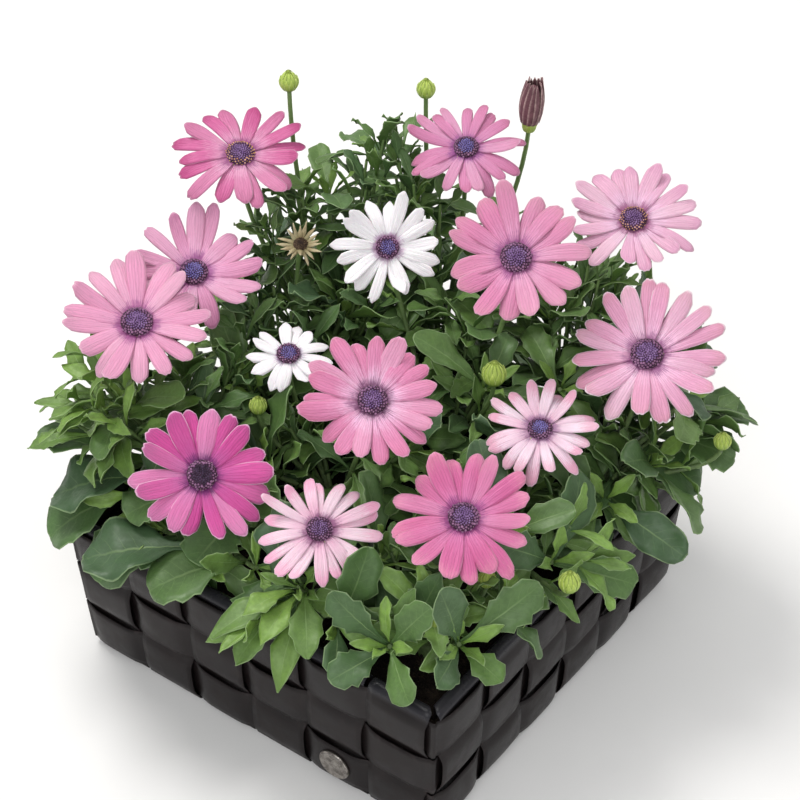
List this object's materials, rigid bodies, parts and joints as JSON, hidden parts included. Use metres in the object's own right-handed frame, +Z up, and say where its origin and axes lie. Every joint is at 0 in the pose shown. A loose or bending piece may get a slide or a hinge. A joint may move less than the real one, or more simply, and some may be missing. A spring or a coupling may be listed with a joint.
{
  "type": "potted osteospermum",
  "caption": "Flowering daisy-like bedding plant with toothed green leaves, in a low square basket woven from wide dark strips.",
  "frame": {"origin": "middle of the foot of the whole object's box, on the surface it stands on", "axes": "+Z up; +X and +Y along the basket's sides, with the badge on its -Y side"},
  "size_m": [0.3336, 0.3204, 0.2754],
  "materials": {
    "dark_strip": "satin, dark brown-black",
    "badge_metal": "worn, dull",
    "liner_film": "matt black film",
    "soil": "crumbly, matt",
    "petal": "soft matt pink with darker veins",
    "white_petal": "soft matt white",
    "disc": "matt blue-violet with orange florets",
    "leaf_green": "satin green",
    "dry_bract": "dry tan",
    "closed_petal": "dull brown-purple"
  },
  "bodies": {
    "root": {"upright_x_1": "dark_strip", "upright_x_2": "dark_strip", "upright_x_3": "dark_strip", "upright_x_4": "dark_strip", "upright_x_5": "dark_strip", "upright_x_6": "dark_strip", "upright_y_1": "dark_strip", "upright_y_2": "dark_strip", "upright_y_3": "dark_strip", "upright_y_4": "dark_strip", "upright_y_5": "dark_strip", "upright_y_6": "dark_strip", "row_1": "dark_strip", "row_2": "dark_strip", "row_3": "dark_strip", "badge": "badge_metal", "liner": "liner_film", "soil": "soil", "bloom_a_petals": "petal", "bloom_a_disc": "disc", "bloom_b_petals": "petal", "bloom_b_disc": "disc", "bloom_c_petals": "white_petal", "bloom_c_disc": "disc", "bloom_d_petals": "petal", "bloom_d_disc": "disc", "bloom_e_petals": "petal", "bloom_e_disc": "disc", "bloom_f_petals": "petal", "bloom_f_disc": "disc", "bloom_g_petals": "petal", "bloom_g_disc": "disc", "bloom_h_petals": "petal", "bloom_h_disc": "disc", "bloom_i_petals": "white_petal", "bloom_i_disc": "disc", "bloom_j_petals": "petal", "bloom_j_disc": "disc", "bloom_k_petals": "petal", "bloom_k_disc": "disc", "bloom_l_petals": "petal", "bloom_l_disc": "disc", "bloom_m_petals": "petal", "bloom_m_disc": "disc", "bloom_n_petals": "petal", "bloom_n_disc": "disc", "closed_bloom": "closed_petal", "seed_head": "dry_bract", "leafy_stem_1": "leaf_green", "leafy_stem_2": "leaf_green", "leafy_stem_3": "leaf_green", "leafy_stem_4": "leaf_green", "leafy_stem_5": "leaf_green", "leafy_stem_6": "leaf_green", "leafy_stem_7": "leaf_green", "leafy_stem_8": "leaf_green", "leafy_stem_9": "leaf_green", "leafy_stem_10": "leaf_green", "leafy_stem_11": "leaf_green", "leafy_stem_12": "leaf_green"}
  },
  "joints": []
}
